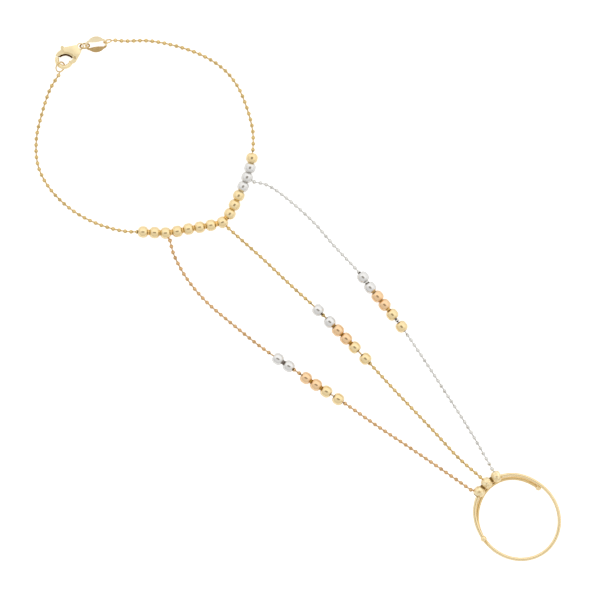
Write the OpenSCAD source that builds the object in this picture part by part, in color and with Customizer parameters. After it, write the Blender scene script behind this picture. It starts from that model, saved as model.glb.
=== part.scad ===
/* [Chain] */
// Diameter of a chain ball
ball_d = 1.0; // [0.92:0.02:1.04]
// Distance between the centres of two chain balls
ball_pitch = 1.48; // [1.3:0.02:1.8]
// Diameter of the rod that the balls are threaded on
rod_d = 0.3; // [0.24:0.02:0.34]
// Gap all round between the rod and the hole in a ball
rod_gap = 0.08; // [0.06:0.01:0.1]
// Length over which a chain rises from the surface to a bead
rise_len = 4.5; // [3.5:0.5:6]
// Distance from a bead's centre to the end ball soldered to it
end_ball_reach = 2.1; // [2.05:0.05:2.3]

/* [Beads] */
// Diameter of a polished bead
bead_d = 2.75; // [2.65:0.05:2.85]
// Diameter of the hole through a polished bead
bead_bore = 1.6; // [1.54:0.02:1.7]
// Gap under a chain ball that lies in a bead's hole
bore_gap = 0.1; // [0.08:0.01:0.12]
// Start of the wrist row, along the wrist chain
wrist_row_at = 53.45; // [52.95:0.1:53.95]
// Start of the left group of beads, along its hand chain
left_group_at = 38.2; // [36:0.1:40]
// Start of the middle group of beads, along its hand chain
mid_group_at = 27.9; // [26:0.1:30]
// Start of the right group of beads, along its hand chain
right_group_at = 34.1; // [32:0.1:36]

/* [Finger ring] */
// Length of the ring along the bracelet, to the middle of its wire
ring_len = 20.9; // [19.5:0.1:22]
// Width of the ring, to the middle of its wire
ring_width = 19.1; // [18:0.1:20.5]
// Diameter of the ring's wire
ring_wire_d = 0.86; // [0.8:0.02:0.9]
// Gap between two turns of the wire, and between the wire and a bead
ring_gap = 0.06; // [0.04:0.01:0.1]
// Diameter of the ball on each end of the wire
wire_end_d = 1.4; // [1.25:0.05:1.5]
// Diameter of a textured ring bead
ring_bead_d = 2.8; // [2.7:0.02:2.9]
// Diameter of the hole through a ring bead
ring_bead_bore = 1.75; // [1.73:0.01:1.85]
// Space between two ring beads, from hole edge to hole edge
ring_bead_space = 0.6; // [0.5:0.05:0.8]
// Angle of the middle ring bead, seen from the ring's centre
ring_bead_angle = 176.7; // [174:0.1:182]

/* [Clasp] */
// Greatest thickness of the clasp
clasp_t = 2.0; // [1.9:0.05:2.2]
// Thickness of the clasp's lever
lever_t = 0.9; // [0.8:0.05:1.0]
// Gap on each face of the lever
lever_gap = 0.08; // [0.06:0.01:0.1]
// Radius of the claw's hook, to the middle of its wire
hook_r = 1.75; // [1.7:0.01:1.8]
// Thickness of the claw's hook
hook_d = 1.0; // [0.9:0.02:1.04]
// Diameter of the pin that the lever turns on
pin_d = 0.5; // [0.4:0.05:0.55]
// Gap between the pin and the holes that it goes through
pin_gap = 0.04; // [0.03:0.01:0.06]
// How far the lever opens, in degrees
lever_travel = 22; // [10:1:24]
// Thickness of the eye at the clasp's tail
eye_t = 0.5; // [0.4:0.05:0.55]
// Diameter of the hole in the eye
eye_hole_d = 1.2; // [1.16:0.01:1.24]

/* [Rings and link] */
// Outer diameter of the jump ring
jump_ring_d = 2.6; // [2.5:0.05:2.7]
// Diameter of the jump ring's wire
jump_wire_d = 0.38; // [0.34:0.01:0.38]
// Outer diameter of the thin ring on the claw
hook_ring_d = 2.76; // [2.74:0.01:2.78]
// Outer diameter of the thin ring on the oval link
link_ring_d = 2.2; // [2.1:0.05:2.3]
// Diameter of the thin rings' wire
thin_wire_d = 0.32; // [0.28:0.02:0.34]
// Length of the oval link
link_len = 5.4; // [5.2:0.1:5.6]
// Width of the oval link across its two flat sides
link_width = 4.0; // [3.9:0.05:4.1]
// Width of one flat side
leaf_width = 1.4; // [1.35:0.05:1.5]
// Length of one flat side
leaf_len = 3.9; // [3.7:0.1:4]
// Thickness of the flat sides
leaf_t = 0.6; // [0.58:0.02:0.64]
// Thickness of the oval link's round ends
link_wire_d = 0.56; // [0.5:0.02:0.56]
// Radius of the oval link's round ends, to the middle of their wire
link_end_r = 1.04; // [1:0.01:1.06]

/* [Hidden] */
$fn = 48;
YELLOW = "#e6c67d";
ROSE = "#e3b08a";
WHITE = "#d8d8da";

// Chosen points of the routes, seen from above
wrist_points = [
    [-77.5, -8.0], [-74.9, -13.2], [-71.4, -18.7], [-66.5, -23.0], [-60.3, -24.9], [-53.2, -24.7],
    [-46.8, -22.8], [-41.2, -19.7], [-36.9, -15.8], [-33.2, -12.4], [-30.4, -8.3], [-27.4, -4.1],
    [-25.65, -1.2], [-25.95, 1.75], [-27.45, 6.05], [-29.15, 10.55], [-31.7, 14.8], [-35.6, 19.0],
    [-40.4, 22.0], [-46.0, 24.3], [-51.5, 24.9], [-57.5, 23.6], [-63.6, 20.7], [-69.0, 17.0],
    [-72.6, 13.3]];
left_points = [
    [-28.0, -15.2], [-22.0, -16.9], [-15.0, -17.5], [-7.0, -16.9], [2.0, -15.9], [9.0, -14.6],
    [18.0, -12.9], [26.0, -11.2], [35.0, -9.6], [45.0, -7.6], [54.0, -5.9]];
mid_points = [
    [-19.0, -1.0], [-12.0, -0.6], [-3.0, -0.35], [5.0, 0.05], [12.0, 0.0], [20.0, -0.1],
    [32.0, -0.55], [45.0, -0.85], [54.0, -1.2]];
right_points = [
    [-24.0, 12.8], [-18.0, 13.8], [-10.0, 14.2], [-3.0, 13.7], [6.0, 13.4], [10.5, 12.7],
    [16.0, 12.2], [23.0, 11.3], [32.0, 9.6], [42.0, 7.5], [52.0, 5.3]];

// Spaces between neighbouring beads, from hole edge to hole edge
wrist_spaces = [0.55, 0.4, 0.6, 0.5, 0.5, 0.5, 0.64, 0.48, 0.16, 0.22, 0.18, 0.18, 0.15, 0.15];
left_spaces = [0.9, 2.75, 0.7, 0.7, 1.15];
mid_spaces = [1.75, 0.6, 0.55, 0.7, 1.5];
right_spaces = [0.75, 0.55, 0.4, 0.75, 1.4];

ball_r = ball_d / 2;
bead_r = bead_d / 2;
bead_len = sqrt(bead_d * bead_d - bead_bore * bead_bore);
bead_axis_z = bead_r - (bead_bore / 2 - ball_r - bore_gap);
rod_sides = 6;
rod_hole_d = rod_d + 2 * rod_gap;
stub_d = 0.4;
ring_wire_r = ring_wire_d / 2;
wire_end_r = wire_end_d / 2;
ring_bead_r = ring_bead_d / 2;
thin_wire_r = thin_wire_d / 2;

function unit(v) = v / norm(v);
function smooth(t) = let (u = min(max(t, 0), 1)) u * u * (3 - 2 * u);
function mix(a, b, t) = a + (b - a) * t;
function polar(r, a) = [r * cos(a), r * sin(a)];
function lifted(p, z) = [p.x, p.y, z];

// Brings the middle of the laid-out bracelet to the origin
to_middle = [-1.19, 0.06];
function moved(points) = [for (p = points) p + to_middle];

// A smooth curve through the points of a route
curve_steps = 8;
function curve(p) = let (
        n = len(p),
        q = concat([2 * p[0] - p[1]], p, [2 * p[n - 1] - p[n - 2]]))
    concat([for (i = [1:n - 1], k = [0:curve_steps - 1])
        let (t = k / curve_steps, a = q[i - 1], b = q[i], c = q[i + 1], d = q[i + 2])
        0.5 * (2 * b + (c - a) * t + (2 * a - 5 * b + 4 * c - d) * pow(t, 2)
            + (3 * b - a - 3 * c + d) * pow(t, 3))],
        [p[n - 1]]);

// A track is a table for each axis, of the length run so far and the place there
function lengths(c) = [for (i = 0, s = 0; i < len(c);
    s = s + (i + 1 < len(c) ? norm(c[i + 1] - c[i]) : 0), i = i + 1) s];
function track(c) = let (s = lengths(c))
    [for (axis = [0:len(c[0]) - 1]) [for (i = [0:len(c) - 1]) [s[i], c[i][axis]]]];
function at(t, s) = [for (axis = t) lookup(s, axis)];
function total(t) = t[0][len(t[0]) - 1][0];
heading_step = 0.1;
function heading(t, s) = unit(at(t, s + heading_step) - at(t, s - heading_step));

// Places of beads along a track, each a bead's length and a space after the last
function bead_places(start, spaces) = [for (i = 0, s = start; i <= len(spaces);
    s = s + bead_len + (i < len(spaces) ? spaces[i] : 0), i = i + 1) s];

// Height of a chain that lies on the surface and rises into its beads and at its ends
function near(distance) = 1 - smooth(distance / rise_len);
function chain_height(s, all, places, z0, z1) = ball_r + max(
    (bead_axis_z - ball_r) * near(max(places[0] - s, s - places[len(places) - 1]) - bead_len / 2),
    (z0 - ball_r) * near(s),
    (z1 - ball_r) * near(all - s));
track_step = 0.4;
function raised(flat, places, z0, z1) = let (all = total(flat), n = ceil(all / track_step))
    track([for (i = [0:n]) let (s = all * i / n) lifted(at(flat, s), chain_height(s, all, places, z0, z1))]);
function ball_places(t) = let (n = round(total(t) / ball_pitch)) [for (i = [0:n]) total(t) * i / n];

module along(p, dir) {
    translate(p) rotate([0, acos(dir.z), atan2(dir.y, dir.x)]) children();
}

// A tube of flat facets along a line of points
module sweep(points, r, sides) {
    n = len(points);
    rings = [for (i = [0:n - 1])
        let (
            dir = unit(points[min(i + 1, n - 1)] - points[max(i - 1, 0)]),
            side = unit(cross(dir, [0, 0, 1])),
            top = cross(side, dir))
        for (k = [0:sides - 1]) points[i] + r * (cos(360 * k / sides) * side + sin(360 * k / sides) * top)];
    walls = [for (i = [0:n - 2], k = [0:sides - 1])
        let (a = i * sides + k, b = i * sides + (k + 1) % sides)
        for (face = [[a, b, b + sides], [a, b + sides, a + sides]]) face];
    first = [for (k = [sides - 1:-1:0]) k];
    last = [for (k = [0:sides - 1]) (n - 1) * sides + k];
    polyhedron(points = rings, faces = concat([first], walls, [last]));
}

module ring(outer_d, wire_d) {
    rotate_extrude() translate([(outer_d - wire_d) / 2, 0]) circle(d = wire_d);
}

module chain_ball() {
    difference() {
        sphere(d = ball_d);
        cylinder(d = rod_hole_d, h = 2 * ball_d, center = true);
    }
}

// The last ball of a chain, drilled only from the chain's side, which is +Z here
module end_ball() {
    difference() {
        sphere(d = ball_d);
        translate([0, 0, -rod_gap]) cylinder(d = rod_hole_d, h = ball_d);
    }
}

module stub(from, to) {
    along(from, unit(to - from)) cylinder(d = stub_d, h = norm(to - from) - ball_r / 2);
}

// The balls of a chain that show outside its beads
module chain(t, centres) {
    s = ball_places(t);
    hidden_reach = bead_len / 2 + ball_r / 2;
    for (i = [1:len(s) - 2]) {
        p = at(t, s[i]);
        if (min([for (c = centres) norm(p - c)]) > hidden_reach) along(p, heading(t, s[i])) chain_ball();
    }
}

module rod(t) {
    sweep([for (s = ball_places(t)) at(t, s)], rod_d / 2, rod_sides);
}

module drilled(d, bore) {
    difference() {
        sphere(d = d);
        cylinder(d = bore, h = 2 * d, center = true);
    }
}

// Clasp, drawn about the middle of its hook with its tail towards +Y
clasp_at = lifted([-80.1, -0.55] + to_middle, clasp_t / 2);
clasp_opening_r = hook_r - hook_d / 2;
hook_from = 35;
hook_to = 204;
lever_tip = 201;
pivot = [1.45, 2.15];
boss_r = 0.45;
ear_r = 0.52;
lever_inside = [1.0, -0.55];
lever_inside_r = 2.28;
lip_r = 2.85;
lever_outside = [0, 0.2];
lever_outside_r = hook_r + hook_d / 2 + 0.15;
nub = [-2.45, 1.78];
nub_r = 0.42;
nub_root = [-1.8, 1.3];
shoulder = [1.4, 1.45];
shoulder_r = 0.93;
jaw = [-1.5, 2.0];
jaw_r = 0.6;
neck = [0.4, 3.55];
neck_r = 1.3;
tail = [0.38, 4.2];
tail_r = 0.75;
eye = [0.45, 5.0];
eye_r = 0.9;
belly = [0.3, 2.3];
belly_side_r = 12;
belly_end_r = 6;
shoulder_x = 1.35;
slot_half = lever_t / 2 + lever_gap;
pin_len = clasp_t - 0.1;

function turned_about(p, c, a) = let (v = p - c)
    c + [v.x * cos(a) - v.y * sin(a), v.x * sin(a) + v.y * cos(a)];
module clasp_outline() hull() {
    translate(jaw) circle(jaw_r);
    translate(shoulder) circle(shoulder_r);
    translate(neck) circle(neck_r);
}

// The two cheeks end above the lever, but keep an ear round its pin
module cheek_outline() difference() {
    clasp_outline();
    difference() {
        intersection() {
            translate(lever_inside) circle(lip_r);
            translate([shoulder_x - 4 * hook_r, -hook_r]) square([4 * hook_r, 4 * hook_r]);
        }
        translate(pivot) circle(ear_r);
    }
}

// Space that the lever needs between the two cheeks over its whole travel
module lever_space() {
    intersection() {
        union() for (turn = [0, 0.5, 1])
            translate(turned_about(lever_outside, pivot, -turn * lever_travel))
                circle(lever_outside_r + lever_gap);
        translate([pivot.x - 4 * hook_r, -hook_r]) square([4 * hook_r, 5 * hook_r]);
    }
    translate(pivot) circle(boss_r + lever_gap);
}

module belly_form() {
    intersection() {
        translate(lifted(belly, clasp_t / 2 - belly_side_r)) sphere(belly_side_r, $fn = 96);
        translate(lifted(belly, belly_side_r - clasp_t / 2)) sphere(belly_side_r, $fn = 96);
        translate([-belly_side_r, belly.y, clasp_t / 2 - belly_end_r]) rotate([0, 90, 0])
            cylinder(r = belly_end_r, h = 2 * belly_side_r, $fn = 96);
        translate([-belly_side_r, belly.y, belly_end_r - clasp_t / 2]) rotate([0, 90, 0])
            cylinder(r = belly_end_r, h = 2 * belly_side_r, $fn = 96);
    }
}

module clasp_body() color(YELLOW) translate(clasp_at) {
    difference() {
        union() {
            intersection() {
                linear_extrude(clasp_t, center = true) cheek_outline();
                belly_form();
            }
            linear_extrude(eye_t, center = true) hull() {
                translate(tail) circle(tail_r);
                translate(eye) circle(eye_r);
            }
        }
        linear_extrude(2 * slot_half, center = true) lever_space();
        translate(pivot) cylinder(d = pin_d + 2 * pin_gap, h = 2 * clasp_t, center = true);
        translate(eye) cylinder(d = eye_hole_d, h = 2 * clasp_t, center = true);
    }
    rotate([0, 0, hook_to]) rotate_extrude(angle = 360 + hook_from - hook_to)
        translate([hook_r, 0]) circle(d = hook_d);
}

module clasp_lever() color(YELLOW) translate(clasp_at) difference() {
    linear_extrude(lever_t, center = true) {
        difference() {
            union() {
                intersection() {
                    translate(lever_outside) circle(lever_outside_r);
                    translate([pivot.x - 4 * hook_r, -hook_r]) square([4 * hook_r, 4 * hook_r]);
                }
                hull() {
                    translate(nub_root) circle(nub_r);
                    translate(nub) circle(nub_r);
                }
            }
            translate(lever_inside) circle(lever_inside_r);
            rotate(lever_tip) translate([0, -0.01]) square(3 * hook_r);
        }
        translate(pivot) circle(boss_r);
    }
    translate(pivot) cylinder(d = pin_d + 2 * pin_gap, h = 2 * clasp_t, center = true);
}

module clasp_pin() color(YELLOW) translate(clasp_at + lifted(pivot, 0))
    cylinder(d = pin_d, h = pin_len, center = true);

// Thin ring that passes round the claw's hook, over it on the left and under it on the right
hook_ring_at = clasp_at + [0.55, -1.9, 0];
hook_ring_tilt = 42;
hook_ring_turn = 16;
hook_ring_exit = 145;
hook_ring_r = (hook_ring_d - thin_wire_d) / 2;
hook_ring_side = lifted(polar(cos(hook_ring_tilt), hook_ring_turn), -sin(hook_ring_tilt));
hook_ring_axis = lifted(polar(sin(hook_ring_tilt), hook_ring_turn), cos(hook_ring_tilt));
hook_ring_edge = hook_ring_at + hook_ring_r * (
    cos(hook_ring_exit) * lifted(polar(1, hook_ring_turn + 90), 0) + sin(hook_ring_exit) * hook_ring_side);
wrist_start = lifted(hook_ring_edge + [0.35, -0.9, 0], ball_r + 0.05);

module hook_end_ring() color(YELLOW) {
    along(hook_ring_at, hook_ring_axis) ring(hook_ring_d, thin_wire_d);
    soldered_end(hook_ring_edge, wrist_track, 0);
}

// The stub and ball that end a chain on a ring
module soldered_end(edge, t, s) {
    ball = at(t, s);
    along(edge, unit(ball - edge)) cylinder(d = 0.9 * thin_wire_d, h = norm(ball - edge) - ball_r / 2);
    along(ball, (s > 0 ? -1 : 1) * heading(t, s)) end_ball();
}

// Jump ring through the eye, leaning over to the right
eye_at = clasp_at + lifted(eye, 0);
jump_dir = 51;
jump_lean = 32;
jump_ring_r = (jump_ring_d - jump_wire_d) / 2;
jump_ring_z = jump_ring_r * cos(jump_lean) + jump_wire_d / 2 + 0.02;
jump_ring_run = sqrt(pow(jump_ring_r, 2) - pow((jump_ring_z - eye_at.z) / cos(jump_lean), 2));
jump_ring_at = lifted(eye_at + lifted(polar(jump_ring_run, jump_dir), 0), jump_ring_z);

module jump_ring() color(YELLOW)
    along(jump_ring_at, [-cos(jump_lean) * sin(jump_dir), cos(jump_lean) * cos(jump_dir), sin(jump_lean)])
        ring(jump_ring_d, jump_wire_d);

// Oval link between the jump ring and the wrist chain, its lower side tipped down to the surface
link_dir = 52;
link_tip = 20;
link_z = 1.0;
link_from_eye = 1.44;
link_mid_r = (link_len - link_wire_d) / 2;
link_at = lifted(eye_at + lifted(polar(link_from_eye, jump_dir) + polar(link_mid_r, link_dir), 0), link_z);
leaf_tip_y = 0.85;
// Circle through two points at a height, and a third in the middle at another height: its radius and centre
function bow(half, ends_y, mid_y) = let (rise = mid_y - ends_y, r = (half * half + rise * rise) / (2 * rise))
    [abs(r), mid_y - r];
leaf_outer = bow(leaf_len / 2, leaf_tip_y, link_width / 2);
leaf_inner = bow(leaf_len / 2, leaf_tip_y, link_width / 2 - leaf_width);

module oval_link() color(YELLOW) translate(link_at) rotate([0, 0, link_dir]) rotate([link_tip, 0, 0]) {
    for (end = [0, 1]) mirror([end, 0, 0]) translate([link_mid_r - link_end_r, 0, 0])
        rotate([0, 0, -90]) rotate_extrude(angle = 180) translate([link_end_r, 0]) circle(d = link_wire_d);
    for (side = [0, 1]) mirror([0, side, 0]) linear_extrude(leaf_t, center = true) intersection() {
        translate([0, leaf_outer[1]]) circle(leaf_outer[0], $fn = 96);
        translate([0, leaf_inner[1]]) circle(leaf_inner[0], $fn = 192);
    }
}

// Thin ring round the far end of the oval link, standing with its top leaning over
link_ring_pos = 20;
link_ring_dir = 59;
link_ring_lean = 25;
link_ring_r = (link_ring_d - thin_wire_d) / 2;
link_ring_z = link_ring_r * cos(link_ring_lean) + thin_wire_d / 2 + 0.02;
link_ring_pull = link_ring_r - thin_wire_d / 2 - link_wire_d / 2 - 0.06;
link_end = link_at + lifted(polar(link_mid_r - link_end_r, link_dir)
    + polar(link_end_r, link_dir + link_ring_pos), 0);
link_ring_at = lifted(link_end + lifted(polar(link_ring_pull, link_ring_dir), 0), link_ring_z);
link_ring_edge = link_ring_at + lifted(polar(link_ring_r, link_ring_dir), 0);
wrist_end = lifted(link_ring_edge + lifted(polar(0.95, 46), 0), 0.85);

module link_end_ring() color(YELLOW) {
    along(link_ring_at, [-cos(link_ring_lean) * sin(link_ring_dir), cos(link_ring_lean) * cos(link_ring_dir),
        sin(link_ring_lean)]) ring(link_ring_d, thin_wire_d);
    soldered_end(link_ring_edge, wrist_track, total(wrist_track));
}

// Wrist chain and its row of beads
wrist_flat = track(curve(concat(
    [[wrist_start.x, wrist_start.y]], moved(wrist_points), [[wrist_end.x, wrist_end.y]])));
wrist_places = bead_places(wrist_row_at + bead_len / 2, wrist_spaces);
wrist_track = raised(wrist_flat, wrist_places, wrist_start.z, wrist_end.z);
function string_centres(flat, places) = [for (s = places) lifted(at(flat, s), bead_r)];
wrist_centres = string_centres(wrist_flat, wrist_places);

module string_bead(flat, s) {
    h = heading(flat, s);
    along(lifted(at(flat, s), bead_r), [h.x, h.y, 0]) drilled(bead_d, bead_bore);
}

// Ring wire: how far out from the oval and how high it runs, by the degrees travelled from its upper end
ring_at = [74.5, -1.3] + to_middle;
wire_from = 256.7;
wire_turn = 516.3;
bead_out = 0.45;
lower_out = -0.5;
wire_end_out = -0.8;
bead_off_wire = 0.3;
bead_over_wire = 0.09;
function oval_r(a) = 1 / norm([2 * cos(a) / ring_len, 2 * sin(a) / ring_width]);
ring_bead_len = sqrt(pow(ring_bead_d, 2) - pow(ring_bead_bore, 2));
ring_bead_run = oval_r(ring_bead_angle) + bead_out + bead_off_wire;
ring_bead_step = 2 * asin((ring_bead_len + ring_bead_space) / 2 / ring_bead_run);
ring_bead_z = ring_wire_r + sqrt(pow(ring_bead_r + ring_wire_r + ring_gap, 2)
    - pow(bead_out + bead_off_wire - lower_out, 2));
end_clear = wire_end_r + ring_wire_r + ring_gap;
lower_end_z = wire_end_r + 0.02;
beads_turn = wire_from - ring_bead_angle;
beads_half = ring_bead_step + 7;
end_cross_z = lower_end_z + sqrt(pow(end_clear, 2) - pow(wire_end_out, 2));
wire_rows = [
    [0, 0, ring_wire_r + end_clear],
    [beads_turn - beads_half, bead_out, ring_bead_z - bead_over_wire],
    [beads_turn + beads_half, bead_out, ring_bead_z - bead_over_wire],
    [wire_turn - 360, 0, end_cross_z],
    [240, 0, ring_wire_r],
    [360, 0, ring_wire_r],
    [360 + beads_turn - beads_half, lower_out, ring_wire_r],
    [360 + beads_turn + beads_half, lower_out, ring_wire_r],
    [wire_turn, wire_end_out, lower_end_z]];
function wire_value(turn, col) = let (
        i = max([for (k = [0:len(wire_rows) - 2]) if (turn >= wire_rows[k][0]) k]),
        a = wire_rows[i], b = wire_rows[i + 1])
    mix(a[col], b[col], smooth((turn - a[0]) / (b[0] - a[0])));
function wire_point(turn) = let (a = wire_from - turn)
    lifted(ring_at + polar(oval_r(a) + wire_value(turn, 1), a), wire_value(turn, 2));
wire_step = 5;
wire_count = round(wire_turn / wire_step);
wire_path = [for (i = [0:wire_count]) wire_point(wire_turn * i / wire_count)];

module ring_wire() color(YELLOW) {
    sweep(wire_path, ring_wire_r, 16);
    translate(wire_path[0]) sphere(d = wire_end_d);
    translate(wire_path[wire_count]) sphere(d = wire_end_d);
}

function ring_bead_turn(i) = beads_turn + (i - 1) * ring_bead_step;
ring_bead_centres = [for (i = [0:2]) let (a = wire_from - ring_bead_turn(i))
    lifted(ring_at + polar(oval_r(a) + bead_out + bead_off_wire, a), ring_bead_z)];

// Hand chains: their ends, from the wrist beads to the ring beads
hang_dirs = [-15, 0, 13];
catch_dirs = [212, 183, 164];
hang_drop = 0.15;
hung_beads = [2, 7, 12];
hand_from = [for (i = [0:2])
    wrist_centres[hung_beads[i]] + lifted(polar(end_ball_reach, hang_dirs[i]), -hang_drop)];
hand_to = [for (i = [0:2]) ring_bead_centres[i] + lifted(polar(end_ball_reach, catch_dirs[i]), -hang_drop)];
function hand_flat(i, points) = track(curve(concat(
    [[hand_from[i].x, hand_from[i].y]], moved(points), [[hand_to[i].x, hand_to[i].y]])));
left_flat = hand_flat(0, left_points);
mid_flat = hand_flat(1, mid_points);
right_flat = hand_flat(2, right_points);
left_places = bead_places(left_group_at + bead_len / 2, left_spaces);
mid_places = bead_places(mid_group_at + bead_len / 2, mid_spaces);
right_places = bead_places(right_group_at + bead_len / 2, right_spaces);
left_track = raised(left_flat, left_places, hand_from[0].z, hand_to[0].z);
mid_track = raised(mid_flat, mid_places, hand_from[1].z, hand_to[1].z);
right_track = raised(right_flat, right_places, hand_from[2].z, hand_to[2].z);

// A bead with the end ball of a hand chain soldered to its side
module soldered_ball(centre, d, t, s) {
    ball = at(t, s);
    dir = unit(ball - centre);
    stub(centre + (d / 2 - stub_d / 2) * dir, ball);
    along(ball, (s > 0 ? -1 : 1) * heading(t, s)) end_ball();
}

module wrist_bead(i) color(i > 10 && i < 14 ? WHITE : YELLOW) {
    string_bead(wrist_flat, wrist_places[i]);
    if (i == hung_beads[0]) soldered_ball(wrist_centres[i], bead_d, left_track, 0);
    if (i == hung_beads[1]) soldered_ball(wrist_centres[i], bead_d, mid_track, 0);
    if (i == hung_beads[2]) soldered_ball(wrist_centres[i], bead_d, right_track, 0);
}

module hand_bead(flat, places, i) color([WHITE, WHITE, ROSE, ROSE, YELLOW, YELLOW][i])
    string_bead(flat, places[i]);

module ring_bead(i, t) color(YELLOW) {
    a = ring_bead_turn(i);
    h = unit(wire_point(a + 1) - wire_point(a - 1));
    along(ring_bead_centres[i], unit([h.x, h.y, 0])) drilled(ring_bead_d, ring_bead_bore);
    soldered_ball(ring_bead_centres[i], ring_bead_d, t, total(t));
}

clasp_body();
clasp_lever();
clasp_pin();
hook_end_ring();
jump_ring();
oval_link();
link_end_ring();
color(YELLOW) chain(wrist_track, wrist_centres);  // wrist_balls
color(YELLOW) rod(wrist_track);  // wrist_rod
color(ROSE) chain(left_track, string_centres(left_flat, left_places));  // left_balls
color(ROSE) rod(left_track);  // left_rod
color(YELLOW) chain(mid_track, string_centres(mid_flat, mid_places));  // mid_balls
color(YELLOW) rod(mid_track);  // mid_rod
color(WHITE) chain(right_track, string_centres(right_flat, right_places));  // right_balls
color(WHITE) rod(right_track);  // right_rod
for (i = [0:14]) wrist_bead(i);
for (i = [0:5]) {
    hand_bead(left_flat, left_places, i);
    hand_bead(mid_flat, mid_places, i);
    hand_bead(right_flat, right_places, i);
}
ring_bead(0, left_track);  // ring_bead_1
ring_bead(1, mid_track);  // ring_bead_2
ring_bead(2, right_track);  // ring_bead_3
ring_wire();
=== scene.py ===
import math
import random
import bpy
from mathutils import Matrix, Vector
from mathutils.kdtree import KDTree


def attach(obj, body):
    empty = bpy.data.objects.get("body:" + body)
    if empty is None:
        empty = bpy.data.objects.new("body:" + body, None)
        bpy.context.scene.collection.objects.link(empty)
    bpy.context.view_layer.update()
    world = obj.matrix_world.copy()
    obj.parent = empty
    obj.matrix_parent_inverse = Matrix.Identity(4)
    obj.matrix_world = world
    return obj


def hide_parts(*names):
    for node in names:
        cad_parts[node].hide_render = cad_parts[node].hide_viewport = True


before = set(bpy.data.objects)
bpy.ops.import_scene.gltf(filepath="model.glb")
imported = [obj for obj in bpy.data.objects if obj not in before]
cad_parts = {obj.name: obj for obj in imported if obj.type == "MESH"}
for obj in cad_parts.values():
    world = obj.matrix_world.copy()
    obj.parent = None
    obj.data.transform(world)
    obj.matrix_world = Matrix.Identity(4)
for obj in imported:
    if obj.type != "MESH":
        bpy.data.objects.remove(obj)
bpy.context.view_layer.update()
mm = 0.001
weldGap = 1e-7  # corners closer than this, in metres, are one
core = 0.001  # a turned outline that closes on the axis starts this far off it, in mm
print("frame loaded:", len(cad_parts), "nodes")


# Small tools for the bench

def clearSelection():
    if bpy.context.object and bpy.context.object.mode != "OBJECT":
        bpy.ops.object.mode_set(mode="OBJECT")
    bpy.ops.object.select_all(action="DESELECT")


def pick(piece):
    clearSelection()
    piece.select_set(True)
    bpy.context.view_layer.objects.active = piece


def finishWith(piece, kind, **values):
    pick(piece)
    modifier = piece.modifiers.new(kind.title(), kind)
    for name, value in values.items():
        setattr(modifier, name, value)
    bpy.ops.object.modifier_apply(modifier=modifier.name)


# Takes out the slivers and doubled faces that a cut leaves behind, and any loose bit
def cleaned(piece, gap):
    pick(piece)
    bpy.ops.object.mode_set(mode="EDIT")
    bpy.ops.mesh.select_all(action="SELECT")
    bpy.ops.mesh.remove_doubles(threshold=gap * mm)
    bpy.ops.mesh.dissolve_degenerate(threshold=gap * mm)
    bpy.ops.mesh.select_mode(type="FACE")
    bpy.ops.mesh.select_all(action="DESELECT")
    bpy.ops.object.mode_set(mode="OBJECT")
    sharers = {}
    for face in piece.data.polygons:
        for key in face.edge_keys:
            sharers.setdefault(key, []).append(face.index)
    for row in sharers.values():
        if len(row) > 2:
            piece.data.polygons[max(row)].select = True
    bpy.ops.object.mode_set(mode="EDIT")
    bpy.ops.mesh.delete(type="ONLY_FACE")
    bpy.ops.mesh.select_all(action="SELECT")
    bpy.ops.mesh.delete_loose()
    bpy.ops.mesh.select_all(action="SELECT")
    bpy.ops.mesh.quads_convert_to_tris(quad_method="BEAUTY", ngon_method="BEAUTY")
    bpy.ops.mesh.separate(type="LOOSE")
    bpy.ops.object.mode_set(mode="OBJECT")
    parts = list(bpy.context.selected_objects)
    largest = max(parts, key=lambda part: len(part.data.polygons))
    removed(*[part for part in parts if part is not largest])
    return largest


def shadeSmooth(piece, angle=50):
    pick(piece)
    bpy.ops.object.shade_smooth_by_angle(angle=math.radians(angle))


def along(place, direction, roll=0.0):
    turn = direction.to_track_quat("Z", "Y").to_matrix().to_4x4()
    return Matrix.Translation(place) @ turn @ Matrix.Rotation(roll, 4, "Z")


def placed(master, name, matrix):
    piece = master.copy()
    piece.data = master.data.copy()
    piece.name = name
    bpy.context.scene.collection.objects.link(piece)
    piece.data.transform(matrix)
    return piece


def removed(*pieces):
    for piece in pieces:
        bpy.data.objects.remove(piece)


def joined(name, parts):
    clearSelection()
    for part in parts:
        part.select_set(True)
    bpy.context.view_layer.objects.active = parts[0]
    bpy.ops.object.join()
    parts[0].name = name
    return parts[0]


# Spins an outline of (radius, height) in mm round Z, as on a lathe
def turned(name, outline, steps):
    clearSelection()
    bpy.ops.mesh.primitive_circle_add(vertices=len(outline), radius=mm)
    piece = bpy.context.object
    piece.name = name
    for vertex, (radius, height) in zip(piece.data.vertices, outline):
        vertex.co = (radius * mm, 0, height * mm)
    bpy.ops.object.mode_set(mode="EDIT")
    bpy.ops.mesh.select_all(action="SELECT")
    bpy.ops.mesh.spin(steps=steps, angle=2 * math.pi, center=(0, 0, 0), axis=(0, 0, 1))
    bpy.ops.mesh.select_all(action="SELECT")
    bpy.ops.mesh.remove_doubles(threshold=weldGap)
    bpy.ops.mesh.normals_make_consistent(inside=False)
    bpy.ops.object.mode_set(mode="OBJECT")
    return piece


# A round wire along a line of points in metres
def drawnWire(name, points, radius, rounds=6, closed=False):
    line = bpy.data.curves.new(name, "CURVE")
    line.dimensions = "3D"
    line.bevel_depth = radius * mm
    line.bevel_resolution = rounds
    line.use_fill_caps = True
    spline = line.splines.new("POLY")
    spline.points.add(len(points) - 1)
    for knot, place in zip(spline.points, points):
        knot.co = (*place, 1)
    spline.use_cyclic_u = closed
    piece = bpy.data.objects.new(name, line)
    bpy.context.scene.collection.objects.link(piece)
    pick(piece)
    bpy.ops.object.convert(target="MESH")
    piece = bpy.context.object
    shadeSmooth(piece)
    return piece


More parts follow.
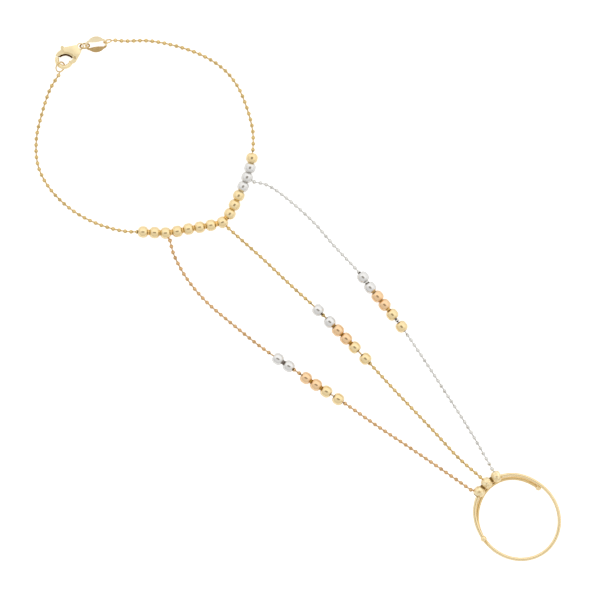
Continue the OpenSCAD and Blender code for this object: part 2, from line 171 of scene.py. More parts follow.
def dress(piece, body, slot, nodes, *materials):
    piece.data.materials.clear()
    for material in materials:
        piece.data.materials.append(material)
    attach(piece, body)
    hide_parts(*nodes)
    return piece


# Materials

def groupSocket(group, name, kind, way="INPUT", value=None):
    socket = group.interface.new_socket(name=name, in_out=way, socket_type=kind)
    if value is not None:
        socket.default_value = value


# Fine polishing marks and a slow drift of tone, worked out in object space
def makePolishGroup():
    group = bpy.data.node_groups.new("polishMarks", "ShaderNodeTree")
    groupSocket(group, "Tone", "NodeSocketColor", value=(1, 1, 1, 1))
    groupSocket(group, "Deep Tone", "NodeSocketColor", value=(1, 1, 1, 1))
    groupSocket(group, "Shine", "NodeSocketFloat", value=0.08)
    groupSocket(group, "Wear", "NodeSocketFloat", value=0.1)
    groupSocket(group, "Color", "NodeSocketColor", "OUTPUT")
    groupSocket(group, "Roughness", "NodeSocketFloat", "OUTPUT")
    groupSocket(group, "Height", "NodeSocketFloat", "OUTPUT")
    nodes, links = group.nodes, group.links
    enter, leave = nodes.new("NodeGroupInput"), nodes.new("NodeGroupOutput")
    place = nodes.new("ShaderNodeTexCoord")
    drift, marks, hairs = [nodes.new("ShaderNodeTexNoise") for i in range(3)]
    for noise, scale, detail in ((drift, 900, 2), (marks, 9000, 3), (hairs, 42000, 2)):
        noise.inputs["Scale"].default_value = scale
        noise.inputs["Detail"].default_value = detail
        links.new(place.outputs["Object"], noise.inputs["Vector"])
    tone = nodes.new("ShaderNodeMix")
    tone.data_type = "RGBA"
    links.new(drift.outputs["Fac"], tone.inputs["Factor"])
    links.new(enter.outputs["Tone"], tone.inputs[6])
    links.new(enter.outputs["Deep Tone"], tone.inputs[7])
    links.new(tone.outputs[2], leave.inputs["Color"])
    wear = nodes.new("ShaderNodeMath")
    wear.operation = "MULTIPLY_ADD"
    links.new(marks.outputs["Fac"], wear.inputs[0])
    links.new(enter.outputs["Wear"], wear.inputs[1])
    links.new(enter.outputs["Shine"], wear.inputs[2])
    links.new(wear.outputs[0], leave.inputs["Roughness"])
    links.new(hairs.outputs["Fac"], leave.inputs["Height"])
    return group


# Small bright and dull grains, as a frosted diamond cut leaves them
def makeGrainGroup():
    group = bpy.data.node_groups.new("cutGrain", "ShaderNodeTree")
    groupSocket(group, "Tone", "NodeSocketColor", value=(1, 1, 1, 1))
    groupSocket(group, "Deep Tone", "NodeSocketColor", value=(1, 1, 1, 1))
    groupSocket(group, "Scale", "NodeSocketFloat", value=6000)
    groupSocket(group, "Color", "NodeSocketColor", "OUTPUT")
    groupSocket(group, "Roughness", "NodeSocketFloat", "OUTPUT")
    groupSocket(group, "Height", "NodeSocketFloat", "OUTPUT")
    nodes, links = group.nodes, group.links
    enter, leave = nodes.new("NodeGroupInput"), nodes.new("NodeGroupOutput")
    place = nodes.new("ShaderNodeTexCoord")
    grain = nodes.new("ShaderNodeTexVoronoi")
    links.new(place.outputs["Object"], grain.inputs["Vector"])
    links.new(enter.outputs["Scale"], grain.inputs["Scale"])
    shade = nodes.new("ShaderNodeSeparateColor")
    links.new(grain.outputs["Color"], shade.inputs["Color"])
    tone = nodes.new("ShaderNodeMix")
    tone.data_type = "RGBA"
    links.new(shade.outputs["Red"], tone.inputs["Factor"])
    links.new(enter.outputs["Tone"], tone.inputs[6])
    links.new(enter.outputs["Deep Tone"], tone.inputs[7])
    links.new(tone.outputs[2], leave.inputs["Color"])
    rough = nodes.new("ShaderNodeMapRange")
    rough.inputs["To Min"].default_value = 0.18
    rough.inputs["To Max"].default_value = 0.45
    links.new(shade.outputs["Green"], rough.inputs["Value"])
    links.new(rough.outputs["Result"], leave.inputs["Roughness"])
    links.new(grain.outputs["Distance"], leave.inputs["Height"])
    return group


polishMarks = makePolishGroup()
cutGrain = makeGrainGroup()


def makeMetal(name, group, bumpDepth, bumpStrength, edge=(1, 1, 1, 1), **values):
    material = bpy.data.materials.new(name)
    material.use_nodes = True
    nodes, links = material.node_tree.nodes, material.node_tree.links
    shader = nodes["Principled BSDF"]
    shader.inputs["Metallic"].default_value = 1.0
    shader.inputs["Specular Tint"].default_value = edge
    effect = nodes.new("ShaderNodeGroup")
    effect.node_tree = group
    for socket, value in values.items():
        effect.inputs[socket.replace("_", " ")].default_value = value
    links.new(effect.outputs["Color"], shader.inputs["Base Color"])
    links.new(effect.outputs["Roughness"], shader.inputs["Roughness"])
    bump = nodes.new("ShaderNodeBump")
    bump.inputs["Distance"].default_value = bumpDepth * mm
    bump.inputs["Strength"].default_value = bumpStrength
    links.new(effect.outputs["Height"], bump.inputs["Height"])
    links.new(bump.outputs["Normal"], shader.inputs["Normal"])
    return material


brownEdge = (0.55, 0.45, 0.32, 1)
# Painted shadow: the edge tint of the near-black groove gold
grooveShadowEdge = (0.15, 0.08, 0.02, 1)
marksDepth, cutDepth, grainDepth = 0.004, 0.003, 0.02  # in mm
goldTones = {
    "yellow": ((0.90, 0.73, 0.43, 1), (0.85, 0.66, 0.35, 1)),
    "rose": ((0.90, 0.64, 0.39, 1), (0.84, 0.56, 0.31, 1)),
    "white": ((0.78, 0.77, 0.75, 1), (0.71, 0.70, 0.68, 1)),
    "shaded": ((0.29, 0.165, 0.045, 1), (0.17, 0.09, 0.022, 1)),
    "amber": ((0.68, 0.35, 0.06, 1), (0.56, 0.28, 0.045, 1)),
    "honey": ((0.92, 0.60, 0.22, 1), (0.84, 0.52, 0.17, 1)),
    "shadedWhite": ((0.26, 0.225, 0.20, 1), (0.17, 0.145, 0.13, 1)),
}


def polished(name, tone, shine, wear, strength=0.25):
    light, deep = goldTones[tone]
    return makeMetal(name, polishMarks, marksDepth, strength,
                     Tone=light, Deep_Tone=deep, Shine=shine, Wear=wear)


yellowGold = polished("yellowGold", "yellow", 0.06, 0.10)
roseGold = polished("roseGold", "rose", 0.06, 0.10)
whiteGold = polished("whiteGold", "white", 0.06, 0.10)
castGold = makeMetal("castYellowGold", polishMarks, marksDepth, 0.3, brownEdge,
                     Tone=(1.0, 0.86, 0.55, 1), Deep_Tone=(0.96, 0.80, 0.48, 1), Shine=0.4, Wear=0.12)
drawnGold = makeMetal("drawnYellowGold", polishMarks, marksDepth, 0.3, brownEdge,
                      Tone=(0.82, 0.63, 0.33, 1), Deep_Tone=(0.68, 0.49, 0.22, 1), Shine=0.14, Wear=0.12)
linkGold = makeMetal("linkYellowGold", polishMarks, marksDepth, 0.3, brownEdge,
                     Tone=(1.0, 0.87, 0.60, 1), Deep_Tone=(0.94, 0.77, 0.47, 1), Shine=0.25, Wear=0.12)
# A deeper copy of the link gold, painted shade for the link's lower flat side
linkShade = makeMetal("linkShadedGold", polishMarks, marksDepth, 0.3,
                      Tone=(0.66, 0.46, 0.21, 1), Deep_Tone=(0.42, 0.27, 0.10, 1), Shine=0.2, Wear=0.12)
# Painted shade: a dark gold for the bead bores and lips, and for the collars and sleeves put in gaps where there
# is only shade
paintedShadeGold = polished("paintedShadeGold", "shaded", 0.35, 0.2, 0.6)
# Painted shadow: a near-black gold for the groove and rib on the lever
grooveShadowGold = makeMetal("grooveShadowGold", polishMarks, marksDepth, 0.6, grooveShadowEdge,
                       Tone=(0.16, 0.07, 0.006, 1), Deep_Tone=(0.09, 0.04, 0.004, 1), Shine=0.4, Wear=0.2)
# Painted shade in white gold, for the collars between two white beads
paintedShadeWhite = polished("paintedShadeWhiteGold", "shadedWhite", 0.35, 0.2, 0.6)
# Painted shade for the gaps between beads, in warm gold tones
amberGapShade = polished("amberGapShade", "amber", 0.3, 0.2, 0.6)
honeyGapShade = polished("honeyGapShade", "honey", 0.3, 0.2, 0.6)
cutTones = {
    "yellow": ((0.72, 0.54, 0.24, 1), (0.64, 0.45, 0.18, 1)),
    "rose": ((0.71, 0.47, 0.24, 1), (0.62, 0.38, 0.17, 1)),
    "white": ((0.73, 0.72, 0.69, 1), (0.65, 0.64, 0.61, 1)),
}
# Deeper tones of each cut metal: painted shade on some sides of the chain balls
shadedCutTones = {
    "yellow": ((0.56, 0.37, 0.13, 1), (0.42, 0.26, 0.08, 1)),
    "rose": ((0.52, 0.28, 0.14, 1), (0.38, 0.19, 0.09, 1)),
    "white": ((0.52, 0.52, 0.50, 1), (0.42, 0.42, 0.41, 1)),
}
cutOf, shadedCutOf = {}, {}
for metal, (light, deep) in cutTones.items():
    cutOf[metal] = makeMetal(metal + "DiamondCut", polishMarks, cutDepth, 0.2,
                             Tone=light, Deep_Tone=deep, Shine=0.07, Wear=0.08)
for metal, (light, deep) in shadedCutTones.items():
    shadedCutOf[metal] = makeMetal(metal + "ShadedCut", polishMarks, cutDepth, 0.2,
                              Tone=light, Deep_Tone=deep, Shine=0.15, Wear=0.1)
ringGold = makeMetal("ringYellowGold", polishMarks, marksDepth, 0.25, brownEdge,
                     Tone=(0.94, 0.77, 0.47, 1), Deep_Tone=(0.89, 0.70, 0.38, 1), Shine=0.16, Wear=0.1)
# A deeper copy of the ring gold, painted shade for the under turn
ringShade = makeMetal("ringShadedGold", polishMarks, marksDepth, 0.25, brownEdge,
                      Tone=(0.88, 0.67, 0.34, 1), Deep_Tone=(0.78, 0.55, 0.24, 1), Shine=0.16, Wear=0.1)
# Painted shade: a deeper gold for the jump ring, also used for the middle strand's bars
shadedJumpGold = makeMetal("jumpRingShadedGold", polishMarks, marksDepth, 0.3, brownEdge,
                     Tone=(0.70, 0.51, 0.24, 1), Deep_Tone=(0.50, 0.34, 0.13, 1), Shine=0.14, Wear=0.12)
roseBar = makeMetal("roseBarGold", polishMarks, marksDepth, 0.3, brownEdge,
                    Tone=(0.74, 0.55, 0.33, 1), Deep_Tone=(0.60, 0.43, 0.25, 1), Shine=0.14, Wear=0.12)
whiteBar = makeMetal("whiteBarGold", polishMarks, marksDepth, 0.3,
                     Tone=(0.76, 0.75, 0.73, 1), Deep_Tone=(0.62, 0.61, 0.60, 1), Shine=0.14, Wear=0.12)
frostedGold = makeMetal("frostedYellowGold", cutGrain, grainDepth, 0.55,
                        Tone=(0.98, 0.85, 0.56, 1), Deep_Tone=(0.78, 0.59, 0.31, 1), Scale=2600)
metalOf = {"yellow": yellowGold, "rose": roseGold, "white": whiteGold}
barOf = {"wrist": drawnGold, "left": roseBar, "mid": shadedJumpGold, "right": whiteBar}
print("materials ready")


# Where the chains run, read from the frame

chains = {
    "wrist": {"metal": "yellow", "beads": 15},
    "left": {"metal": "rose", "beads": 6},
    "mid": {"metal": "yellow", "beads": 6},
    "right": {"metal": "white", "beads": 6},
}
beadTones = {
    "wrist": ["yellow"] * 11 + ["white"] * 3 + ["yellow"],
    "left": ["white", "white", "rose", "rose", "yellow", "yellow"],
}
beadTones["mid"] = beadTones["right"] = beadTones["left"]


# The rod of a chain has a ring of corners at each ball, so their middles are the ball places.
# All corners of a place lie within the first reach, and the next place within the second
rodRead = {"cornerReach": 0.4, "stepReach": 1.9}


def ballLine(chain):
    sums = []
    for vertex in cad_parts[chain + "_rod"].data.vertices:
        rounded = tuple(round(c / mm, 3) for c in vertex.co)
        for row in sums:
            if (row["first"] - vertex.co).length < rodRead["cornerReach"] * mm:
                row["corners"].add(rounded)
                break
        else:
            sums.append({"first": vertex.co.copy(), "corners": {rounded}})
    places = []
    for row in sums:
        total = Vector((0, 0, 0))
        for corner in row["corners"]:
            total += Vector(corner) * mm
        places.append(total / len(row["corners"]))

    def friends(place):
        return [p for p in places if p is not place and (p - place).length < rodRead["stepReach"] * mm]
    ends = [p for p in places if len(friends(p)) == 1]
    line, rest = [min(ends, key=lambda p: p.x)], list(places)
    rest.remove(line[0])
    while rest:
        following = min(rest, key=lambda p: (p - line[-1]).length)
        rest.remove(following)
        line.append(following)
    return line


# The cap of a bead gives its middle, also where an end ball is soldered to its side
capShare = 0.35


def ballMiddle(node, radius):
    corners = [v.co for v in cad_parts[node].data.vertices]
    high = max(p.z for p in corners)
    cap = [p for p in corners if p.z > high - capShare * radius * mm]
    x = (min(p.x for p in cap) + max(p.x for p in cap)) / 2
    y = (min(p.y for p in cap) + max(p.y for p in cap)) / 2
    return Vector((x, y, high - radius * mm))


bead = {
    "radius": 1.375, "hole": 0.8, "mouth": 0.75, "halfLength": 1.152, "band": 0.22, "rows": 15, "steps": 56,
    "lip": 0.03, "lipSoft": 0.01, "lipDrop": 0.012, "lipDeep": 0.05, "wall": 0.07, "shadedLip": 0.02,
}
beadSwell = {"wrist": (1.015, 1.015), "left": (1.04, 1.1), "mid": (1.04, 1.1), "right": (1.03, 1.08)}
ringBead = {
    "radius": 1.4, "mouth": 0.77, "halfLength": 1.169, "drill": 2, "roll": 1.3,
    "cuts": 260, "cutReach": 0.9, "shallow": 0.978, "deep": 0.958,
}
endBall = {"radius": 0.5, "stub": 0.2}
endBallOutline = [(0.2, 0.452), (0.33, 0.37), (0.432, 0.25), (0.494, 0.07), (0.494, -0.1), (0.4, -0.3),
                  (0.22, -0.448), (core, -0.5), (core, 0.05), (0.2, 0.05)]

for name, chain in chains.items():
    chain["line"] = ballLine(name)
    chain["middles"] = [ballMiddle(name + "_bead_" + str(i + 1), bead["radius"])
                        for i in range(chain["beads"])]
ringMiddles = [ballMiddle("ring_bead_" + str(i + 1), ringBead["radius"]) for i in range(3)]
print("chains read:", {name: len(chain["line"]) for name, chain in chains.items()})


def headingAt(line, place):
    i = min(range(len(line)), key=lambda k: (line[k] - place).length)
    return (line[min(i + 1, len(line) - 1)] - line[max(i - 1, 0)]).normalized()


# Chain balls: a diamond-cut ball of a few facets, turned once and threaded along each chain. The faces of two of
# its nine sides carry painted shade in a deeper tone

ball = {"steps": 9, "shadedFacets": 2,
        "outline": [(0.2, -0.455), (0.42, -0.28), (0.5, -0.06), (0.5, 0.09), (0.41, 0.3), (0.2, 0.455)]}
cutBall = turned("cutBall", ball["outline"], ball["steps"])
# Painted shade: the faces of the first sides take the deeper shaded-cut tone
for face in cutBall.data.polygons:
    turn = math.degrees(math.atan2(face.center.y, face.center.x)) % 360
    if turn < ball["shadedFacets"] * 360 / ball["steps"]:
        face.material_index = 1

# A ball is left out where it lies in a bead's hole, or with its middle just outside it
hiddenReach = (math.sqrt(bead["radius"] ** 2 - bead["hole"] ** 2) + endBall["radius"] / 2) * mm
random.seed(11)
for name, chain in chains.items():
    line, parts = chain["line"], []
    for i in range(1, len(line) - 1):
        if min((line[i] - m).length for m in chain["middles"]) > hiddenReach:
            direction = (line[i + 1] - line[i - 1]).normalized() * random.choice((-1, 1))
            parts.append(placed(cutBall, "ball", along(line[i], direction, random.uniform(0, math.pi))))
    chain["shown"] = len(parts)
    dress(joined(name + "Balls", parts), "bracelet", chain["metal"] + "_gold", [name + "_balls"],
          cutOf[chain["metal"]], shadedCutOf[chain["metal"]])
removed(cutBall)
print("chain balls:", {name: chain["shown"] for name, chain in chains.items()})


# Threads: the short bars between the balls, and the collars in the gaps of a bead row. The collars stand in for
# the shade in each gap, in painted tones:
# warm, or pale between two white beads, and dark behind the last bead of a strand

gapShadeOf = {
    "wrist": {"warm": honeyGapShade, "pale": cutOf["white"]},
    "left": {"warm": amberGapShade, "pale": paintedShadeWhite},
    "mid": {"warm": amberGapShade, "pale": paintedShadeWhite},
    "right": {"warm": honeyGapShade, "pale": cutOf["white"]},
}


def collarShadeGold(name, i):
    beside = beadTones[name][i:i + 2]
    if len(beside) == 1:
        return paintedShadeGold
    return gapShadeOf[name]["pale" if beside == ["white", "white"] else "warm"]


thread = {
    "radius": 0.18, "collar": 0.54, "wristCollar": 0.66, "bore": 0.1, "chamfer": 0.04,
    "inside": 0.3, "outside": 0.2, "widest": 1.0,
}
for name, chain in chains.items():
    bars = drawnWire(name + "Thread", chain["line"], thread["radius"], rounds=3)
    bars.data.materials.append(barOf[name])
    collars = []
    for i, middle in enumerate(chain["middles"]):
        heading = headingAt(chain["line"], middle)
        straight = Vector((heading.x, heading.y, 0)).normalized()
        low, high = bead["halfLength"] - thread["inside"], bead["halfLength"] + thread["outside"]
        if i + 1 < chain["beads"]:
            step = chain["middles"][i + 1] - middle
            if step.length / mm - 2 * bead["halfLength"] > thread["widest"]:
                continue
            straight, high = step.normalized(), step.length / mm - low
        elif name == "wrist":
            continue
        r = thread["wristCollar"] if name == "wrist" else thread["collar"]
        bore, cut = thread["bore"], thread["chamfer"]
        collar = turned("collar", [(r, low), (r, high - cut), (r - cut, high), (bore, high), (bore, low)], 32)
        shadeSmooth(collar)
        collar.data.transform(along(middle, straight))
        collar.data.materials.append(collarShadeGold(name, i))
        collars.append(collar)
    piece = joined(name + "Thread", [bars] + collars)
    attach(piece, "bracelet")
    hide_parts(name + "_rod")
print("threads drawn")


# Polished beads: a hollow barrel with rolled lips round its bore

def beadOutline():
    r, m, h, band = bead["radius"], bead["mouth"], bead["halfLength"], bead["band"]
    rows, lip, soft = bead["rows"], bead["lip"], bead["lipSoft"]
    outer = []
    for i in range(-rows, rows + 1):
        z = math.sin(0.5 * math.pi * i / rows) * (h - lip)
        drop = max(abs(z) - band, 0) / (h - lip - band) * math.sqrt(r ** 2 - (m + lip) ** 2)
        outer.append((math.sqrt(r ** 2 - drop ** 2), z))
    inner = m - bead["wall"]
    rolled = [(m + soft, h - bead["lipDrop"]), (m - soft, h),
              (inner + soft, h - soft), (inner, h - bead["lipDeep"])]
    return outer + rolled + [(radius, -z) for radius, z in reversed(rolled)]


solder = {"sunk": 0.06, "foot": 0.34, "waist": 0.25, "waistUp": 0.1, "stubUp": 0.22}


def soldered(middle, radius, ballPlace, facing, metal):
    direction = (ballPlace - middle).normalized()
    top = turned("endBall", endBallOutline, 12)
    top.data.transform(along(ballPlace, facing))
    reach = (ballPlace - middle).length / mm
    start, end = radius - solder["sunk"], reach - endBall["radius"] / 2
    stub = endBall["stub"]
    outline = [(core, start), (solder["foot"], start), (solder["waist"], start + solder["waistUp"]),
               (stub, start + solder["stubUp"]), (stub, end), (core, end)]
    neck = turned("solder", outline, 20)
    shadeSmooth(neck, 70)
    neck.data.transform(along(middle, direction))
    for part in (top, neck):
        part.data.materials.append(metal)
    return [top, neck]


masterBead = turned("masterBead", beadOutline(), bead["steps"])
shadeSmooth(masterBead, 60)
# Painted shade: the faces at the bead's ends and inside its bore take the dark shade gold
lipShadeFrom = (bead["halfLength"] - bead["shadedLip"]) * mm
for face in masterBead.data.polygons:
    if abs(face.center.z) > lipShadeFrom or face.center.xy.length < bead["mouth"] * mm:
        face.material_index = 1
hung = {"left": 2, "mid": 7, "right": 12}  # the wrist bead that each strand hangs from
for name, chain in chains.items():
    for i, middle in enumerate(chain["middles"]):
        heading = headingAt(chain["line"], middle)
        flat = Vector((heading.x, heading.y, 0)).normalized()
        tone = beadTones[name][i]
        wider, longer = beadSwell[name]
        lifted = middle + Vector((0, 0, (wider - 1) * bead["radius"] * mm))
        piece = placed(masterBead, name + "Bead" + str(i + 1),
                       along(lifted, flat) @ Matrix.Diagonal((wider, wider, longer, 1)))
        piece.data.materials.append(metalOf[tone])
        piece.data.materials.append(paintedShadeGold)
        for strand, index in hung.items():
            if name == "wrist" and i == index:
                line = chains[strand]["line"]
                extra = soldered(middle, bead["radius"], line[0], (line[1] - line[0]).normalized(),
                                 cutOf[chains[strand]["metal"]])
                piece = joined(piece.name, [piece] + extra)
        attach(piece, "bracelet")
        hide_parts(name + "_bead_" + str(i + 1))
removed(masterBead)
print("polished beads threaded")


# Ring beads: a turned bead cut all over with small flat facets

def cutBead():
    r, m, h = ringBead["radius"], ringBead["mouth"], ringBead["halfLength"]
    clearSelection()
    bpy.ops.mesh.primitive_ico_sphere_add(subdivisions=4, radius=r * mm)
    piece = bpy.context.object
    random.seed(5)
    bpy.ops.object.mode_set(mode="EDIT")
    bpy.ops.mesh.select_all(action="SELECT")
    for i in range(ringBead["cuts"]):
        z = random.uniform(-ringBead["cutReach"], ringBead["cutReach"])
        turn = random.uniform(0, 2 * math.pi)
        side = math.sqrt(1 - z * z)
        facing = Vector((side * math.cos(turn), side * math.sin(turn), z))
        depth = random.uniform(ringBead["deep"], ringBead["shallow"])
        bpy.ops.mesh.select_all(action="SELECT")
        bpy.ops.mesh.bisect(plane_co=facing * r * mm * (0.5 + depth / 2), plane_no=facing,
                            clear_outer=True, use_fill=True)
    for way in (-1, 1):
        bpy.ops.mesh.select_all(action="SELECT")
        bpy.ops.mesh.bisect(plane_co=(0, 0, way * h * mm), plane_no=(0, 0, way), clear_outer=True, use_fill=True)
    bpy.ops.object.mode_set(mode="OBJECT")
    drill = ringBead["drill"]
    bore = turned("bore", [(core / 2, -drill), (m, -drill), (m, drill), (core / 2, drill)], 40)
    finishWith(piece, "BOOLEAN", operation="DIFFERENCE", object=bore, solver="EXACT")
    removed(bore)
    return cleaned(piece, 0.005)


masterCut = cutBead()
for i, middle in enumerate(ringMiddles):
    strand = ["left", "mid", "right"][i]
    line = chains[strand]["line"]
    row = ringMiddles[min(i + 1, 2)] - ringMiddles[max(i - 1, 0)]
    flat = Vector((row.x, row.y, 0)).normalized()
    piece = placed(masterCut, "ringBead" + str(i + 1), along(middle, flat, ringBead["roll"] * i))
    piece.data.materials.clear()
    piece.data.materials.append(frostedGold)
    extra = soldered(middle, ringBead["radius"], line[-1], (line[-2] - line[-1]).normalized(),
                     cutOf[chains[strand]["metal"]])
    piece = joined(piece.name, [piece] + extra)
    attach(piece, "bracelet")
    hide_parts("ring_bead_" + str(i + 1))
removed(masterCut)
print("ring beads cut")


# Finger ring: one wire wound nearly one and a half times, with a ball on each end

ring = {
    "at": (73.31, -1.24), "length": 20.9, "width": 19.1, "wire": 0.43, "gap": 0.06,
    "endBall": 0.7, "endLift": 0.02, "from": 256.7, "turn": 516.3, "step": 2.5, "underFrom": 352, "settled": 240,
    "beadOut": 0.45, "lowerOut": -0.5, "endOut": -0.8, "offWire": 0.3, "overWire": 0.09,
    "beadAngle": 176.7, "beadSpace": 0.4478, "beadMargin": 7,
}


def polar(radius, angle, height=0.0):
    a = math.radians(angle)
    return Vector((radius * math.cos(a), radius * math.sin(a), height))


def easeStep(t):
    t = min(max(t, 0), 1)
    return t * t * (3 - 2 * t)


def ovalReach(angle):
    a = math.radians(angle)
    return 1 / math.hypot(2 * math.cos(a) / ring["length"], 2 * math.sin(a) / ring["width"])


# The wire's course in rows of (degrees travelled from its upper end, way out from the oval, height)
def ringRows():
    out, low, tip, off = ring["beadOut"], ring["lowerOut"], ring["endOut"], ring["offWire"]
    reach = ovalReach(ring["beadAngle"]) + out + off
    step = 2 * math.degrees(math.asin((2 * ringBead["halfLength"] + ring["beadSpace"]) / 2 / reach))
    r = ring["wire"]
    beadHeight = r + math.sqrt((ringBead["radius"] + r + ring["gap"]) ** 2 - (out + off - low) ** 2)
    height = beadHeight - ring["overWire"]
    clear = ring["endBall"] + r + ring["gap"]
    lowEnd = ring["endBall"] + ring["endLift"]
    turn, half = ring["from"] - ring["beadAngle"], step + ring["beadMargin"]
    cross = lowEnd + math.sqrt(clear ** 2 - tip ** 2)
    return [
        (0, 0, r + clear), (turn - half, out, height), (turn + half, out, height),
        (ring["turn"] - 360, 0, cross), (ring["settled"], 0, r), (360, 0, r),
        (360 + turn - half, low, r), (360 + turn + half, low, r), (ring["turn"], tip, lowEnd)]


def ringPoint(rows, turn):
    i = max(k for k in range(len(rows) - 1) if turn >= rows[k][0])
    a, b = rows[i], rows[i + 1]
    t = easeStep((turn - a[0]) / (b[0] - a[0]))
    out, height = a[1] + (b[1] - a[1]) * t, a[2] + (b[2] - a[2]) * t
    angle = ring["from"] - turn
    return (Vector((*ring["at"], height)) + polar(ovalReach(angle) + out, angle)) * mm


rows = ringRows()
count = round(ring["turn"] / ring["step"])
path = [ringPoint(rows, ring["turn"] * i / count) for i in range(count + 1)]
parts = [drawnWire("ringWire", path, ring["wire"], rounds=8)]
for end in (path[0], path[-1]):
    clearSelection()
    bpy.ops.mesh.primitive_uv_sphere_add(segments=32, ring_count=20, radius=ring["endBall"] * mm)
    knob = bpy.context.object
    shadeSmooth(knob)
    knob.data.transform(Matrix.Translation(end))
    parts.append(knob)
for part in parts:
    part.data.materials.append(ringGold)
    part.data.materials.append(ringShade)

# Painted shade: the under turn, between the table and the upper turn, lies in deeper tones
spots = KDTree(len(path))
for i, place in enumerate(path):
    spots.insert(place, i)
spots.balance()
for face in parts[0].data.polygons:
    if spots.find(face.center)[1] * ring["step"] > ring["underFrom"]:
        face.material_index = 1

# Sleeves on the wire, dark with painted shade, fill the gaps between its beads, and one the mouth of the first
# bead
sleeve = {"radius": 0.72, "bore": 0.3, "inside": 0.35, "mouthFrom": 0.9, "mouthTo": 1.3}
r, bore = sleeve["radius"], sleeve["bore"]
for a, b in zip(ringMiddles, ringMiddles[1:]):
    half = (b - a).length / 2 / mm - ringBead["halfLength"] + sleeve["inside"]
    part = turned("sleeve", [(r, -half), (r, half), (bore, half), (bore, -half)], 32)
    shadeSmooth(part)
    part.data.transform(along((a + b) / 2, (b - a).normalized()))
    part.data.materials.append(paintedShadeGold)
    parts.append(part)
mouth = ringMiddles[0] - ringMiddles[1]
mouth = Vector((mouth.x, mouth.y, 0)).normalized()
low, high = sleeve["mouthFrom"], sleeve["mouthTo"]
part = turned("sleeve", [(r, low), (r, high), (bore, high), (bore, low)], 32)
part.data.transform(along(ringMiddles[0], mouth))
part.data.materials.append(paintedShadeGold)
parts.append(part)
piece = joined("ringWire", parts)
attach(piece, "bracelet")
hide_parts("ring_wire")
print("finger ring wound")


# Clasp: cast parts taken from the frame, their edges worn round in the tumbler

def castFrom(node, name, grain, passes, keep=None):
    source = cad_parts[node]
    piece = source.copy()
    piece.data = source.data.copy()
    piece.name = name
    for key in list(piece.keys()):
        del piece[key]
    piece.parent = None
    bpy.context.scene.collection.objects.link(piece)
    pick(piece)
    bpy.ops.object.mode_set(mode="EDIT")
    bpy.ops.mesh.select_all(action="SELECT")
    bpy.ops.mesh.remove_doubles(threshold=weldGap)
    bpy.ops.object.mode_set(mode="OBJECT")
    if keep:
        finishWith(piece, "BOOLEAN", operation="INTERSECT", object=keep, solver="EXACT")
        removed(keep)
    finishWith(piece, "REMESH", mode="VOXEL", voxel_size=grain * mm, use_smooth_shade=True)
    finishWith(piece, "SMOOTH", factor=cast["soften"], iterations=passes)
    return piece


cast = {"bodyGrain": 0.04, "bodyPasses": 16, "leverGrain": 0.035, "leverPasses": 6, "soften": 0.5}
piece = castFrom("clasp_body", "claspBody", cast["bodyGrain"], cast["bodyPasses"])
dress(piece, "bracelet", "yellow_gold", ["clasp_body"], castGold)
lever = castFrom("clasp_lever", "claspLever", cast["leverGrain"], cast["leverPasses"])

# A groove is cut along the lever's edge at the opening, with a rib below it, both in a near-black gold as
# painted shadow
groove = {
    "radius": 0.23, "lengthTurn": 45, "stations": 14, "trimTip": 0.75, "trimPin": 0.1, "out": -0.03,
    "below": 0.1, "skin": 0.3, "near": 0.08,
    "rib": 0.17, "ribOut": 0.03, "ribBelow": 0.4, "ribFrom": 1, "ribTo": 11,
}
lengthWay, holeWay = polar(1, groove["lengthTurn"]), polar(1, groove["lengthTurn"] - 90)
top = max(v.co.z for v in lever.data.vertices)
skin = [v.co for v in lever.data.vertices if v.co.z > top - groove["skin"] * mm]
runs = [p.dot(lengthWay) for p in skin]
first, last = min(runs) + groove["trimTip"] * mm, max(runs) - groove["trimPin"] * mm
edgeLine = []
for i in range(groove["stations"]):
    run = first + (last - first) * i / (groove["stations"] - 1)
    here = [p.dot(holeWay) for p in skin if abs(p.dot(lengthWay) - run) < groove["near"] * mm]
    if here:
        edgeLine.append(lengthWay * run + holeWay * max(here) + Vector((0, 0, top)))


def besideEdge(points, out, below):
    return [p + holeWay * out * mm - Vector((0, 0, below * mm)) for p in points]


cutLine = besideEdge(edgeLine, groove["out"], groove["below"])
ribLine = besideEdge(edgeLine[groove["ribFrom"]:groove["ribTo"]], groove["ribOut"], groove["ribBelow"])
cutter = drawnWire("grooveCutter", cutLine, groove["radius"], rounds=3)
rib = drawnWire("rib", ribLine, groove["rib"], rounds=3)
for part in (lever, cutter):
    part.data.materials.clear()
    part.data.materials.append(castGold)
    part.data.materials.append(grooveShadowGold)
for face in cutter.data.polygons:
    face.material_index = 1
finishWith(lever, "BOOLEAN", operation="DIFFERENCE", object=cutter, solver="EXACT")
removed(cutter)
lever = cleaned(lever, 0.003)
rib.data.materials.append(grooveShadowGold)
lever = joined("claspLever", [lever, rib])
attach(lever, "lever")
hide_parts("clasp_lever")
print("clasp cast")

clasp = {"at": Vector((-81.29, -0.49, 1.0)), "pivot": Vector((1.45, 2.15, 0)), "eye": Vector((0.45, 5.0, 0))}
pinEnd = [(0.25, 0.84), (0.22, 0.9), (0.14, 0.945), (core, 0.95)]
pin = turned("claspPin", [(radius, -z) for radius, z in reversed(pinEnd)] + pinEnd, 32)
shadeSmooth(pin)
pin.data.transform(Matrix.Translation((clasp["at"] + clasp["pivot"]) * mm))
dress(pin, "bracelet", "yellow_gold", ["clasp_pin"], drawnGold)


# Thin rings of round wire, each with a soldered ball where a chain begins

neckShape = {"sunk": 0.02, "foot": 0.5, "waist": 0.42, "waistUp": 0.2, "bite": 0.25}
tableGap = 0.02


